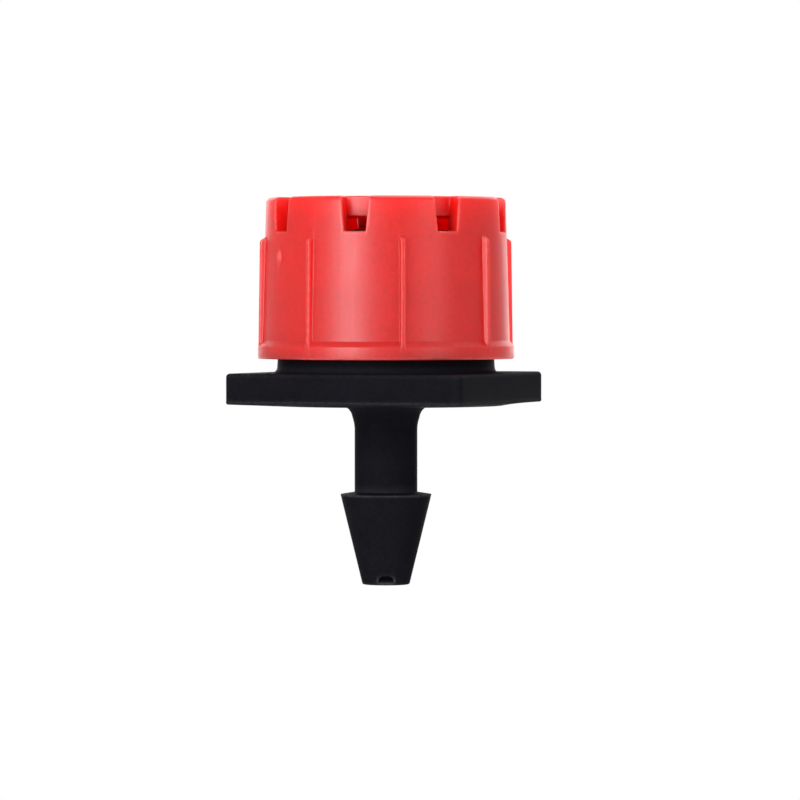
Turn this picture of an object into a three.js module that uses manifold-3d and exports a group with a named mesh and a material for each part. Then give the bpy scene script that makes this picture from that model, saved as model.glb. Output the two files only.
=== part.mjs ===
// Adjustable drip emitter with eight outlets: a barbed base, a seal ring and a screw-on cap.
// Millimetres, +Z up. The origin is on the axis, at the underside of the square plate, where a
// hose pushed over the barb stops. The cap is shown screwed down, with the valve shut.

import * as THREE from "three";
import { mergeVertices } from "three/addons/utils/BufferGeometryUtils.js";
import Module from "manifold-3d";

// How finely round shapes are cut up.
const ROUND_SEGMENTS = 40;
const CORNER_STEPS = 3;
const HALF_FACET = Math.PI / ROUND_SEGMENTS;

// Joined shapes reach this far into each other, and cutters this far past a face.
const JOIN = 0.2;

// Barb and stem for a tube of 4 mm bore.
const BORE_RADIUS = 1.1;
const BARB_TIP_Z = -12.27;
const BARB_TIP_RADIUS = 1.61;
const BARB_TIP_ROUND = 0.2;
const BARB_EDGE_Z = -6.08;
const BARB_EDGE_RADIUS = 3.12;
const BARB_SHOULDER_Z = -5.93;
const STEM_RADIUS = 2.15;
const STEM_ROOT_RADIUS = 2.65;
const STEM_ROOT_Z = -1.35;
const TIP_WINDOW_WIDTH = 1.1;
const TIP_WINDOW_CROWN = 0.4;
const TIP_WINDOW_SILL = 0.12;
const TIP_WINDOW_TOP = 0.62;
const TIP_WINDOW_ANGLE = -69;

// Square plate and the round collar on it.
const PLATE_WIDTH = 17;
const PLATE_THICKNESS = 2.25;
const PLATE_CORNER = 0.5;
const PLATE_EDGE = 0.25;
const COLLAR_RADIUS = 7.4;
const COLLAR_DRAFT = 0.06;
const COLLAR_FOOT = 0.35;
const COLLAR_TOP_Z = 3.5;

// Screw thread, right-handed, on the base and in the cap.
const THREAD_PITCH = 1.6;
const THREAD_TURNS = 2.1;
const THREAD_TOP_Z = 7.35;
const THREAD_FOOT_WIDTH = 0.85;
const THREAD_CREST_WIDTH = 0.4;
const THREAD_RUN_OUT = Math.PI / 5;
const BASE_ROOT_RADIUS = 6.75;
const BASE_CREST_RADIUS = 7.28;
const CAP_ROOT_RADIUS = 7.45;
const CAP_CREST_RADIUS = 6.92;

// Spigot above the thread, with the seal groove, the well and the nozzle inside it.
const SPIGOT_RADIUS = 6.85;
const SPIGOT_Z = 7.9;
const SPIGOT_TOP_Z = 11.9;
const SPIGOT_LEAD = 0.2;
const GROOVE_RADIUS = 5.85;
const GROOVE_Z = 10.4;
const GROOVE_TOP_Z = 11.6;
const WELL_RADIUS = 4.9;
const WELL_DRAFT = 0.1;
const WELL_FLOOR_Z = 3.5;
const NOZZLE_RADIUS = 2.2;
const NOZZLE_TOP_Z = 12.05;
const SEAT_RADIUS = 1.5;
const SEAT_DEPTH = 0.5;

// Cap shell.
const CAP_Z = 3.2;
const CAP_TOP_Z = 14.2;
const CAP_TOP_RADIUS = 8.2;
const CAP_TOP_ROUND = 0.35;
const WALL_FOOT_RADIUS = 8.48;
const WALL_FOOT_Z = 4.5;
const FLANGE_RADIUS = 8.78;
const FLANGE_TOP_Z = 4.05;
const MOUTH_RADIUS = 7.6;
const MOUTH_DEPTH = 0.4;
const CAP_BORE_RADIUS = 7;
const DISC_UNDERSIDE_Z = 12.85;
const RECESS_RADIUS = 4.5;
const RECESS_DEPTH = 0.25;
const GATE_RADIUS = 0.6;
const GATE_HEIGHT = 0.15;

// Valve needle under the cap's disc. It clears the seat by the running gap.
const SEAT_GAP = 0.06;
const PLUG_RADIUS = 1.9;
const PLUG_Z = 12.12;
const PIN_RADIUS = 0.95;
const PIN_TIP_RADIUS = 0.7;
const PIN_TIP_Z = 10.2;

// Grip ribs, outlet notches and the locating pip around the cap.
const COPIES = 8;
const RIB_ANGLE = 28.7;
const RIB_WIDTH = 0.45;
const RIB_TOP_RADIUS = 8.67;
const RIB_TOP_Z = 11.45;
const RIB_TOP_ROUND = 0.3;
const RIB_ROOT_RADIUS = 8;
const NOTCH_ANGLE = 6.2;
const NOTCH_INNER_RADIUS = 6.9;
const NOTCH_Z = 11.82;
const NOTCH_WIDTH = 1.5;
const NOTCH_TOP_WIDTH = 1.9;
const PIP_ANGLE = -128.8;
const PIP_RADIUS = 8.32;
const PIP_Z = 10.1;
const PIP_SIZE = [0.15, 0.18, 0.4];

// Seal ring, as squeezed in its groove.
const RING_INNER_RADIUS = 5.88;
const RING_OUTER_RADIUS = 6.95;
const RING_HEIGHT = 1.1;
const RING_POINTS = 14;

const PLASTIC_BLACK = { color: 0x1b1b1e, roughness: 0.5, metalness: 0 };
const PLASTIC_RED = { color: 0xe63c37, roughness: 0.4, metalness: 0 };
const RUBBER = { color: 0x101011, roughness: 0.7, metalness: 0 };

const wasm = await Module();
wasm.setup();

/** A manifold solid from a closed three.js geometry. */
function solid(geometry) {
  geometry.deleteAttribute("normal");
  geometry.deleteAttribute("uv");
  const welded = mergeVertices(geometry);
  const index = welded.index.array;
  const kept = [];
  for (let i = 0; i < index.length; i += 3) {
    const [a, b, c] = index.slice(i, i + 3);
    if (a !== b && b !== c && c !== a) kept.push(a, b, c);
  }
  return new wasm.Manifold(
    new wasm.Mesh({
      numProp: 3,
      vertProperties: welded.attributes.position.array,
      triVerts: Uint32Array.from(kept),
    }),
  );
}

/** The points of an outline given by its corners, each [x, y, rounding]. */
function outline(corners, closed) {
  const corner = (i) => new THREE.Vector2(...corners[(i + corners.length) % corners.length]);
  const path = new THREE.Path();
  corners.forEach(([x, y, rounding = 0], i) => {
    const start = corner(i - 1).sub(corner(i)).setLength(rounding).add(corner(i));
    const end = corner(i + 1).sub(corner(i)).setLength(rounding).add(corner(i));
    if (i === 0) path.moveTo(start.x, start.y);
    else path.lineTo(start.x, start.y);
    if (rounding > 0) path.quadraticCurveTo(x, y, end.x, end.y);
  });
  if (closed) path.closePath();
  return path.getPoints(CORNER_STEPS);
}

/** A body turned about the Z axis from a profile of radius and height. */
function turned(points) {
  return solid(new THREE.LatheGeometry(points, ROUND_SEGMENTS).rotateX(Math.PI / 2));
}

/** A shape of width and height, pushed out along X from one radius to another. */
function radialBar(points, from, to) {
  const bar = new THREE.ExtrudeGeometry(new THREE.Shape(points), {
    depth: to - from,
    bevelEnabled: false,
  });
  const axes = [new THREE.Vector3(0, 1, 0), new THREE.Vector3(0, 0, 1), new THREE.Vector3(1, 0, 0)];
  bar.applyMatrix4(new THREE.Matrix4().makeBasis(...axes));
  return solid(bar.translate(from, 0, 0));
}

/** Copies of a solid, evenly spaced about the Z axis from a first angle. */
function around(shape, firstAngle) {
  const turns = Array.from({ length: COPIES }, (_, i) => firstAngle + (i * 360) / COPIES);
  return wasm.Manifold.union(turns.map((angle) => shape.rotate([0, 0, angle])));
}

/** A thread ridge: a straight bar of the ridge's section, wound down about the axis. */
function threadRidge(rootRadius, crestRadius, startAngle) {
  const side = Math.sign(crestRadius - rootRadius);
  const section = new THREE.Shape([
    new THREE.Vector2(-side * JOIN, -THREAD_FOOT_WIDTH / 2),
    new THREE.Vector2(crestRadius - rootRadius, -THREAD_CREST_WIDTH / 2),
    new THREE.Vector2(crestRadius - rootRadius, THREAD_CREST_WIDTH / 2),
    new THREE.Vector2(-side * JOIN, THREAD_FOOT_WIDTH / 2),
  ]);
  const sweep = 2 * Math.PI * THREAD_TURNS;
  const ridge = new THREE.ExtrudeGeometry(section, {
    depth: sweep,
    steps: Math.round(ROUND_SEGMENTS * THREAD_TURNS),
    bevelEnabled: false,
  });
  const places = ridge.attributes.position;
  for (let i = 0; i < places.count; i += 1) {
    const wound = places.getZ(i);
    const fade = Math.min(1, wound / THREAD_RUN_OUT, (sweep - wound) / THREAD_RUN_OUT);
    const reach = places.getX(i) * (places.getX(i) * side > 0 ? fade : 1);
    const angle = startAngle - wound;
    const drop = (THREAD_PITCH * wound) / (2 * Math.PI);
    places.setXYZ(
      i,
      (rootRadius + reach) * Math.cos(angle),
      (rootRadius + reach) * Math.sin(angle),
      THREAD_TOP_Z + places.getY(i) - drop,
    );
  }
  return solid(ridge);
}

/** The square plate, its corners and edges rounded, as a hose and fingers meet it. */
function plate() {
  const half = PLATE_WIDTH / 2 - PLATE_EDGE;
  const corners = [
    [-half, -half, PLATE_CORNER],
    [half, -half, PLATE_CORNER],
    [half, half, PLATE_CORNER],
    [-half, half, PLATE_CORNER],
  ];
  const slab = new THREE.ExtrudeGeometry(new THREE.Shape(outline(corners, true)), {
    depth: PLATE_THICKNESS - 2 * PLATE_EDGE,
    bevelThickness: PLATE_EDGE,
    bevelSize: PLATE_EDGE,
    bevelSegments: 2,
  });
  return solid(slab.translate(0, 0, PLATE_EDGE));
}

/** The base's round body: barb, stem, collar, spigot, well and nozzle about one through bore. */
function roundBody() {
  return turned(
    outline(
      [
        [BORE_RADIUS, BARB_TIP_Z],
        [BARB_TIP_RADIUS, BARB_TIP_Z, BARB_TIP_ROUND],
        [BARB_EDGE_RADIUS, BARB_EDGE_Z],
        [STEM_RADIUS, BARB_SHOULDER_Z],
        [STEM_RADIUS, STEM_ROOT_Z],
        [(STEM_RADIUS + STEM_ROOT_RADIUS) / 2 - JOIN / 2, STEM_ROOT_Z / 4, JOIN],
        [STEM_ROOT_RADIUS, 0],
        [STEM_ROOT_RADIUS, JOIN],
        [COLLAR_RADIUS, JOIN],
        [COLLAR_RADIUS + COLLAR_FOOT, PLATE_THICKNESS - JOIN],
        [COLLAR_RADIUS + COLLAR_FOOT, PLATE_THICKNESS],
        [COLLAR_RADIUS + COLLAR_DRAFT, PLATE_THICKNESS + COLLAR_FOOT],
        [COLLAR_RADIUS, COLLAR_TOP_Z, COLLAR_DRAFT],
        [BASE_ROOT_RADIUS, COLLAR_TOP_Z],
        [BASE_ROOT_RADIUS, SPIGOT_Z - (SPIGOT_RADIUS - BASE_ROOT_RADIUS)],
        [SPIGOT_RADIUS, SPIGOT_Z],
        [SPIGOT_RADIUS, GROOVE_Z],
        [GROOVE_RADIUS, GROOVE_Z],
        [GROOVE_RADIUS, GROOVE_TOP_Z],
        [SPIGOT_RADIUS, GROOVE_TOP_Z],
        [SPIGOT_RADIUS, SPIGOT_TOP_Z, SPIGOT_LEAD],
        [WELL_RADIUS + WELL_DRAFT, SPIGOT_TOP_Z],
        [WELL_RADIUS, WELL_FLOOR_Z],
        [NOZZLE_RADIUS + WELL_DRAFT, WELL_FLOOR_Z],
        [NOZZLE_RADIUS, NOZZLE_TOP_Z],
        [SEAT_RADIUS, NOZZLE_TOP_Z],
        [BORE_RADIUS, NOZZLE_TOP_Z - SEAT_DEPTH],
      ],
      true,
    ),
  );
}

/** The small arched window through the near wall of the barb's tip, just above its rim. */
function tipWindow() {
  const arch = outline(
    [
      [-TIP_WINDOW_WIDTH / 2, BARB_TIP_Z + TIP_WINDOW_SILL],
      [TIP_WINDOW_WIDTH / 2, BARB_TIP_Z + TIP_WINDOW_SILL],
      [TIP_WINDOW_CROWN / 2, BARB_TIP_Z + TIP_WINDOW_TOP, JOIN],
      [-TIP_WINDOW_CROWN / 2, BARB_TIP_Z + TIP_WINDOW_TOP, JOIN],
    ],
    true,
  );
  return radialBar(arch, 0, STEM_RADIUS).rotate([0, 0, TIP_WINDOW_ANGLE]);
}

/** The black base, one moulding. */
function emitterBase() {
  const bore = turned(
    outline([
      [0, -PLATE_THICKNESS],
      [BORE_RADIUS, -PLATE_THICKNESS],
      [BORE_RADIUS, 2 * PLATE_THICKNESS],
      [0, 2 * PLATE_THICKNESS],
    ]),
  );
  return plate()
    .subtract(bore)
    .add(roundBody())
    .add(threadRidge(BASE_ROOT_RADIUS, BASE_CREST_RADIUS, HALF_FACET))
    .subtract(tipWindow());
}

/** The cap's turned shell, with the needle standing on the underside of its disc. */
function capShell() {
  const slope = SEAT_DEPTH / (SEAT_RADIUS - BORE_RADIUS);
  const seatLift = SEAT_GAP * Math.hypot(1, slope);
  const coneZ = (radius) => NOZZLE_TOP_Z - (SEAT_RADIUS - radius) * slope + seatLift;
  return turned(
    outline([
      [0, PIN_TIP_Z],
      [PIN_TIP_RADIUS, PIN_TIP_Z],
      [PIN_RADIUS, coneZ(PIN_RADIUS)],
      [SEAT_RADIUS - SEAT_GAP, PLUG_Z],
      [PLUG_RADIUS, PLUG_Z],
      [PLUG_RADIUS, DISC_UNDERSIDE_Z],
      [CAP_BORE_RADIUS, DISC_UNDERSIDE_Z],
      [CAP_BORE_RADIUS, SPIGOT_Z],
      [CAP_ROOT_RADIUS, SPIGOT_Z],
      [CAP_ROOT_RADIUS, CAP_Z + MOUTH_DEPTH],
      [MOUTH_RADIUS, CAP_Z],
      [FLANGE_RADIUS, CAP_Z],
      [FLANGE_RADIUS, FLANGE_TOP_Z],
      [WALL_FOOT_RADIUS, WALL_FOOT_Z],
      [CAP_TOP_RADIUS, CAP_TOP_Z, CAP_TOP_ROUND],
      [RECESS_RADIUS, CAP_TOP_Z],
      [RECESS_RADIUS - RECESS_DEPTH, CAP_TOP_Z - RECESS_DEPTH],
      [GATE_RADIUS, CAP_TOP_Z - RECESS_DEPTH],
      [GATE_RADIUS, CAP_TOP_Z - RECESS_DEPTH + GATE_HEIGHT],
      [0, CAP_TOP_Z - RECESS_DEPTH + GATE_HEIGHT],
    ]),
  );
}

/** One grip rib, standing proud of the wall and rounded off at its top. */
function gripRib() {
  const side = new THREE.Shape(
    outline(
      [
        [RIB_ROOT_RADIUS, CAP_Z + JOIN],
        [FLANGE_RADIUS, CAP_Z + JOIN],
        [FLANGE_RADIUS, FLANGE_TOP_Z],
        [RIB_TOP_RADIUS, RIB_TOP_Z, RIB_TOP_ROUND],
        [RIB_ROOT_RADIUS, RIB_TOP_Z],
      ],
      true,
    ),
  );
  const rib = new THREE.ExtrudeGeometry(side, { depth: RIB_WIDTH, bevelEnabled: false });
  return solid(rib.rotateX(Math.PI / 2).translate(0, RIB_WIDTH / 2, 0));
}

/** The cutter for one outlet notch. Below the disc it breaks into the bore and makes a window. */
function notchCutter() {
  const flare = ((NOTCH_TOP_WIDTH - NOTCH_WIDTH) / 2) * (1 + JOIN);
  const topZ = CAP_TOP_Z + JOIN * (CAP_TOP_Z - NOTCH_Z);
  const opening = outline(
    [
      [-NOTCH_WIDTH / 2, NOTCH_Z],
      [NOTCH_WIDTH / 2, NOTCH_Z],
      [NOTCH_WIDTH / 2 + flare, topZ],
      [-NOTCH_WIDTH / 2 - flare, topZ],
    ],
    true,
  );
  return radialBar(opening, NOTCH_INNER_RADIUS, FLANGE_RADIUS + JOIN);
}

/** The small pip on the wall that shows where the cap's thread starts. */
function pip() {
  const bump = new THREE.SphereGeometry(1, 12, 8).scale(...PIP_SIZE);
  return solid(bump.translate(PIP_RADIUS, 0, PIP_Z)).rotate([0, 0, PIP_ANGLE]);
}

/** The red cap, one moulding with its needle. */
function outletCap() {
  return capShell()
    .add(threadRidge(CAP_ROOT_RADIUS, CAP_CREST_RADIUS, Math.PI + HALF_FACET))
    .add(around(gripRib(), RIB_ANGLE))
    .add(pip())
    .subtract(around(notchCutter(), NOTCH_ANGLE));
}

/** The rubber ring between the spigot's groove and the cap's bore. */
function sealRing() {
  const section = new THREE.EllipseCurve(
    (RING_INNER_RADIUS + RING_OUTER_RADIUS) / 2,
    (GROOVE_Z + GROOVE_TOP_Z) / 2,
    (RING_OUTER_RADIUS - RING_INNER_RADIUS) / 2,
    RING_HEIGHT / 2,
  );
  return turned(section.getPoints(RING_POINTS));
}

/** A named mesh with its own material. */
function piece(name, shape, finish) {
  const { vertProperties, triVerts } = shape.getMesh();
  const geometry = new THREE.BufferGeometry();
  geometry.setAttribute("position", new THREE.BufferAttribute(vertProperties, 3));
  geometry.setIndex(new THREE.BufferAttribute(triVerts, 1));
  geometry.computeVertexNormals();
  const mesh = new THREE.Mesh(geometry, new THREE.MeshStandardMaterial(finish));
  mesh.name = name;
  return mesh;
}

const group = new THREE.Group();
group.add(piece("emitter_base", emitterBase(), PLASTIC_BLACK));
group.add(piece("seal_ring", sealRing(), RUBBER));
group.add(piece("outlet_cap", outletCap(), PLASTIC_RED));

export default group;
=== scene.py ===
"""Drip emitter: a barbed black base, a rubber seal ring and a red outlet cap, in a plain studio."""

import math

import bmesh
import bpy
from bpy.props import FloatProperty, FloatVectorProperty, IntProperty, PointerProperty
from mathutils import Matrix, Vector


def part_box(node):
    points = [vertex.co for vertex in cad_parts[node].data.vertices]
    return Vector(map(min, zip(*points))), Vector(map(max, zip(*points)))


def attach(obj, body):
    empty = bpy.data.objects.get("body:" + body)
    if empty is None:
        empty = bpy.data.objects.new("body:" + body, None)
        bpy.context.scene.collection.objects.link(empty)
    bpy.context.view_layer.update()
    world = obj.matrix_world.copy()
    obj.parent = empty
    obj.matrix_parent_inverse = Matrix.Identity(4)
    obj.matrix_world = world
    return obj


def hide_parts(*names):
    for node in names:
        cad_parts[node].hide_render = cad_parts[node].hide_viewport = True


bl_info = {
    "name": "Drip Emitter",
    "version": (1, 0, 0),
    "blender": (4, 5, 0),
    "location": "View3D > Sidebar > Emitter",
    "description": "Builds an adjustable drip emitter around its packed frame",
    "category": "Add Mesh",
}

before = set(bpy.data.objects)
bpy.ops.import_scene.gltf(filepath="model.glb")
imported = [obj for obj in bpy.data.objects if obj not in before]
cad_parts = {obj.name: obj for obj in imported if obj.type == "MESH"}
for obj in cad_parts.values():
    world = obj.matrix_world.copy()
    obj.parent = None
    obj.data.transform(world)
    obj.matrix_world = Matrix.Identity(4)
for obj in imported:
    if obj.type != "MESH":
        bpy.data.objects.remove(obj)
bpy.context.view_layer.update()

# Shapes are worked in millimetres and scaled to metres when they are finished.
MM = 0.001
BASE_LOW, BASE_HIGH = (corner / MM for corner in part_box("emitter_base"))
RING_LOW, RING_HIGH = (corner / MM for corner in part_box("seal_ring"))
CAP_LOW, CAP_HIGH = (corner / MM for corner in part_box("outlet_cap"))

# Points closer together than WELD are merged, and NEAR is the slack when one is looked for.
WELD = 2e-4
NEAR = 1e-3
ROUND_STEPS = 240
ARC_STEPS = 4
TAU = 2 * math.pi

# How much a round wall's radius narrows to its far end, so that it draws out of its mould.
WALL_DRAFT = 0.1

# The cap's wall, between its flange and its rim, as (radius, height), and the step in its bore.
FLANGE_TOP = (8.76, 4.06)
WALL_FOOT = (8.47, 4.43)
STEP_Z = 7.9
MOUTH_FLARE = 0.17
MOUTH_DEPTH = 0.42

# The cap's eight bays, each with one rib and one notch. The rib's lines are the mesh's columns
# across half of it, and from the last one on the wall is plain. A notch's sharp edges are marked
# in a layer of this name, and rounded over once the bays are bent.
ROUND_OVER = "round over"
COPIES = 8
HALF_PITCH = math.pi / COPIES
RIB_ANGLE = math.radians(28.7)
RIB_LINES = (0.07, 0.12, 0.155, 0.18, 0.2, 0.22, 0.245, 0.28, 0.34)
RIB_FOOT_LINE = RIB_LINES[-1]
RIB_PROUD = 0.02
WALL_COLUMNS = 9
NOTCH_COLUMNS = 4

# The small pip on the cap's wall, and the patch of finer mesh that it is drawn from.
PIP_ANGLE = math.radians(-128.8)
PIP_Z = 10.1
PIP_HALF_WIDTH = 0.17
PIP_HALF_HEIGHT = 0.42
PIP_DEPTH = 0.21
PIP_REACH = 0.5
PIP_PATCH = 0.6

# The middle of the cap's disc: the recess on top, the gate mark in it, and plug and needle below.
INNER_RADIUS = 6.0
RECESS_RADIUS = 4.62
RECESS_DEPTH = 0.25
GATE_RADIUS = 0.72
GATE_DROP = 0.12
PLUG_RADIUS = 2.0
PLUG_END_Z = 12.12
NEEDLE_RADIUS = 1.44
NEEDLE_TIP_RADIUS = 0.72
NEEDLE_END_Z = 10.2

# The screw thread, whose ends keep a gap to the wall's own rings. The base's ridge stands at
# THREAD_Z where it crosses THREAD_ANGLE, and the cap's lies half a turn further on.
CAP_ROOT = 7.45
CAP_CREST = 6.92
CAP_THREAD = (CAP_LOW.z + 0.55, STEP_Z - 0.17)
BASE_ROOT = 6.75
BASE_CREST = 7.28
BASE_THREAD = (3.65, 7.65)
RIDGE_ROUND = 0.07
THREAD_Z = 7.35
THREAD_ANGLE = math.radians(4.5)
THREAD_GAP = 0.05

# The base's collar, and the spigot above it with its seal groove, well and nozzle tube.
COLLAR_TOP_Z = 3.5
SPIGOT_RADIUS = 6.85
SPIGOT_TOP_Z = 11.9
GROOVE_RADIUS = 5.85
GROOVE = (10.4, 11.6)
WELL_RADIUS = 5.0
WELL_FLOOR_Z = 3.5
NOZZLE_RADIUS = 2.3
SEAT_RADIUS = 1.5
SEAT_DEPTH_Z = 11.55

# The stem's two ends, and its flare into the plate's underside, as (radius, height, rounding).
STEM_FOOT_Z = -5.93
STEM_TOP_Z = -1.35
STEM_FLARE = ((2.4, -0.42, 0.25), (2.86, 0, 0.12))

# The thin line of flash round the plate, where the two halves of its mould met, and the finer
# line down both sides of stem and barb.
FLASH = 0.03
FLASH_Z = 0.32
PART_LINE = 0.02

# The hose barb's sharp edge, and the small window through one side of its tip: the two rows of
# the mesh that it opens between, how far up the wall the rows above are moved to make room, the
# share of its height that its arch keeps at the ends, and how far from the axis its wall begins.
BARB_EDGE_Z = -6.08
WINDOW_ANGLE = math.radians(-69)
WINDOW_WIDTH = 1.1
WINDOW_TOP = 0.64
WINDOW_ROWS = (0.2, 0.34)
WINDOW_REACH = 1.2
WINDOW_END_RISE = 0.15
WINDOW_INSIDE = 0.8

# The seal ring's inner radius, and the points round its section.
RING_INNER = 5.88
RING_STEPS = 28

# Where the upright softboxes stand, in metres from the axis and above the plate's underside, and
# the cool white of the main one.
LAMP_DISTANCE = 0.5
LAMP_HEIGHT = 0.05
COOL = (0.9, 0.98, 1.03)


def millimetres(name, description, size):
    """A length property with its default given in millimetres."""
    return FloatProperty(name=name, description=description, default=size * MM, min=0, unit="LENGTH")


def colour(name, description, rgb):
    """A colour property, scene-linear."""
    return FloatVectorProperty(
        name=name, description=description, default=rgb, size=3, min=0, max=1, subtype="COLOR"
    )


class EmitterCapSizes(bpy.types.PropertyGroup):
    flange_radius: millimetres("Flange radius", "Outside of the flange at the cap's mouth", CAP_HIGH.x)
    rim_radius: millimetres("Rim radius", "Outside of the wall at the rim", 8.2)
    rim_round: millimetres("Rim rounding", "Rounding of the rim's top edge", 0.35)
    bore_radius: millimetres("Bore radius", "Smooth bore that the seal ring runs in", 7.0)
    disc: millimetres("Disc thickness", "Thickness of the top disc", 1.35)
    rib_radius: millimetres("Rib radius", "Outside of the grip ribs near their tops", 8.68)
    rib_width: millimetres("Rib width", "Width of a grip rib", 0.36)
    rib_top: millimetres("Rib top", "Height where a grip rib ends", 11.38)
    notch_depth: millimetres("Notch depth", "Depth of an outlet notch below the rim", 2.38)
    notch_width: millimetres("Notch width", "Width of an outlet notch at its floor", 1.5)
    notch_top_width: millimetres("Notch top width", "Width of an outlet notch at the rim", 1.9)
    edge_round: millimetres("Edge rounding", "Rounding of the notch edges", 0.09)


class EmitterBaseSizes(bpy.types.PropertyGroup):
    plate_width: millimetres("Plate width", "Across the square grip plate's flats", 2 * BASE_HIGH.x)
    plate_thickness: millimetres("Plate thickness", "Thickness of the grip plate", 2.25)
    corner: millimetres("Corner rounding", "Rounding of the plate's upright corners", 0.5)
    edge: millimetres("Upper edge rounding", "Rounding of the plate's upper rim", 0.25)
    lower_edge: millimetres("Lower edge rounding", "Rounding of the plate's lower rim", 0.12)
    flat_radius: millimetres("Underside flat", "Radius of the flat in the middle of the underside", 8.0)
    rim_lift: millimetres("Rim lift", "How far the underside slopes up from its flat to its rim", 0.15)
    collar_radius: millimetres("Collar radius", "Round collar between plate and cap", 7.4)
    stem_radius: millimetres("Stem radius", "Stem that the hose grips", 2.15)
    barb_radius: millimetres("Barb radius", "Sharp edge of the hose barb", 3.12)
    tip_radius: millimetres("Tip radius", "Leading end of the hose barb", 1.61)
    bore_radius: millimetres("Bore radius", "Water way through barb and nozzle", 1.1)


class EmitterThreadSizes(bpy.types.PropertyGroup):
    pitch: millimetres("Pitch", "Rise of the screw thread in one turn", 1.6)
    foot: millimetres("Ridge foot", "Width of the thread ridge at its root", 0.85)
    crest: millimetres("Ridge crest", "Width of the thread ridge at its crest", 0.4)
    steps: IntProperty(name="Steps", description="Steps in one turn of thread", default=120, min=24)


class EmitterFinish(bpy.types.PropertyGroup):
    red: colour("Red", "Red moulding compound of the cap", (0.84, 0.01, 0.007))
    # Painted shade: the red laid into corners and recesses where light hardly reaches.
    red_in_shade: colour("Red painted in shade", "Red where light hardly reaches", (0.78, 0.003, 0.001))
    # Part handling wear, part painted highlight on the cap's edges.
    red_edge_wear_and_highlight: colour("Edge red", "Red on handled edges, with painted highlight", (0.93, 0.2, 0.18))
    black: colour("Black", "Black moulding compound of the base", (0.008, 0.0076, 0.0099))
    # Painted light: paler than the black itself, laid into its shaded corners and recesses so that they look
    # lit.
    black_in_shade: colour("Black painted in shade", "Black where light hardly reaches", (0.045, 0.043, 0.052))
    # Part handling wear, part painted highlight on the base's edges.
    black_edge_wear_and_highlight: colour("Edge black", "Black on handled edges, with painted highlight", (0.075, 0.075, 0.082))
    rubber: colour("Rubber", "Rubber of the seal ring", (0.012, 0.012, 0.012))
    # Painted shade: the rubber laid into corners and recesses where light hardly reaches.
    rubber_in_shade: colour("Rubber painted in shade", "Rubber where light hardly reaches", (0.005, 0.005, 0.005))
    rubber_edge: colour("Bloomed rubber", "Greyed rubber on thin edges", (0.03, 0.03, 0.029))


class EmitterStudio(bpy.types.PropertyGroup):
    azimuth: FloatProperty(
        name="Azimuth", description="Camera's turn about the emitter", default=math.radians(21),
        subtype="ANGLE",
    )
    distance: millimetres("Distance", "Camera's distance from the emitter's axis", 315)
    height: millimetres("Height", "Camera's height above the plate's underside", 7.4)
    view_width: millimetres("View width", "Width of the view at the emitter's axis", 54.8)
    aim_right: millimetres("Aim right", "How far right of the axis the view's centre lies", 0.96)
    aim_up: millimetres("Aim up", "How far above the plate's underside the view's centre lies", 0.36)
    floor_drop: millimetres("Floor drop", "Depth of the floor below the plate's underside", 45)
    key: FloatProperty(name="Key light", description="Radiance of the main softbox", default=9.4, min=0)
    fill: FloatProperty(name="Fill light", description="Radiance of the second softbox", default=3.3, min=0)
    rim: FloatProperty(name="Rim light", description="Radiance of the softboxes behind", default=2.1, min=0)
    top: FloatProperty(name="Top light", description="Radiance of the softbox overhead", default=3.8, min=0)
    room: FloatProperty(name="Room light", description="Brightness of the pale room", default=0.46, min=0)


# ---- Outlines and turned shapes ------------------------------------------------------------


def rounded(corners, closed=False):
    """Points of an outline from its corners, each (x, y, rounding), with a true arc at each rounding."""
    points = []
    count = len(corners)
    for i, (x, y, reach) in enumerate(corners):
        corner = Vector((x, y))
        if not reach or (not closed and i in (0, count - 1)):
            points.append(corner)
            continue
        back = (Vector(corners[i - 1][:2]) - corner).normalized()
        ahead = (Vector(corners[(i + 1) % count][:2]) - corner).normalized()
        turn = math.atan2((-back).cross(ahead), (-back).dot(ahead))
        if abs(turn) < 1e-3:
            points.append(corner)
            continue
        start = corner + back * reach
        side = Vector((back.y, -back.x)) * math.copysign(reach / math.tan(abs(turn) / 2), turn)
        spoke = -side
        centre = start + side
        points += [
            centre + Matrix.Rotation(turn * step / ARC_STEPS, 2) @ spoke for step in range(ARC_STEPS + 1)
        ]
    return points


def wire(bm, points):
    """A chain of edges through points of radius and height, in the X-Z plane."""
    verts = [bm.verts.new((point.x, 0, point.y)) for point in points]
    return verts, [bm.edges.new(pair) for pair in zip(verts, verts[1:])]


def spin_round(bm, geom):
    """Spins verts and edges right round the axis."""
    bmesh.ops.spin(
        bm, geom=geom, cent=(0, 0, 0), axis=(0, 0, 1), dvec=(0, 0, 0),
        angle=TAU, steps=ROUND_STEPS, use_merge=True,
    )


def turned(bm, points):
    """Spins a profile of radius and height right round the axis."""
    verts, edges = wire(bm, points)
    spin_round(bm, verts + edges)


def radius_of(vert):
    return math.hypot(vert.co.x, vert.co.y)


def level(edge):
    """Whether an edge's two ends are at one height."""
    return abs(edge.verts[0].co.z - edge.verts[1].co.z) < NEAR


def open_ring(bm, height, least, most):
    """The open edges at one height whose ends lie between two radii."""
    return [
        edge for edge in bm.edges
        if edge.is_boundary
        and all(abs(v.co.z - height) < NEAR and least < radius_of(v) < most for v in edge.verts)
    ]


def open_loop(bm, radius, height):
    """The open edges that lie in a circle at one radius and height."""
    slack = 20 * NEAR
    return open_ring(bm, height, radius - slack, radius + slack)


def join_rings(bm, *rings):
    """Joins two open rings of as many points by faces between the points at like angles."""
    first, second = (
        sorted({vert for edge in ring for vert in edge.verts}, key=lambda v: math.atan2(v.co.y, v.co.x))
        for ring in rings
    )
    for i in range(len(first)):
        bm.faces.new((first[i - 1], first[i], second[i], second[i - 1]))


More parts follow.
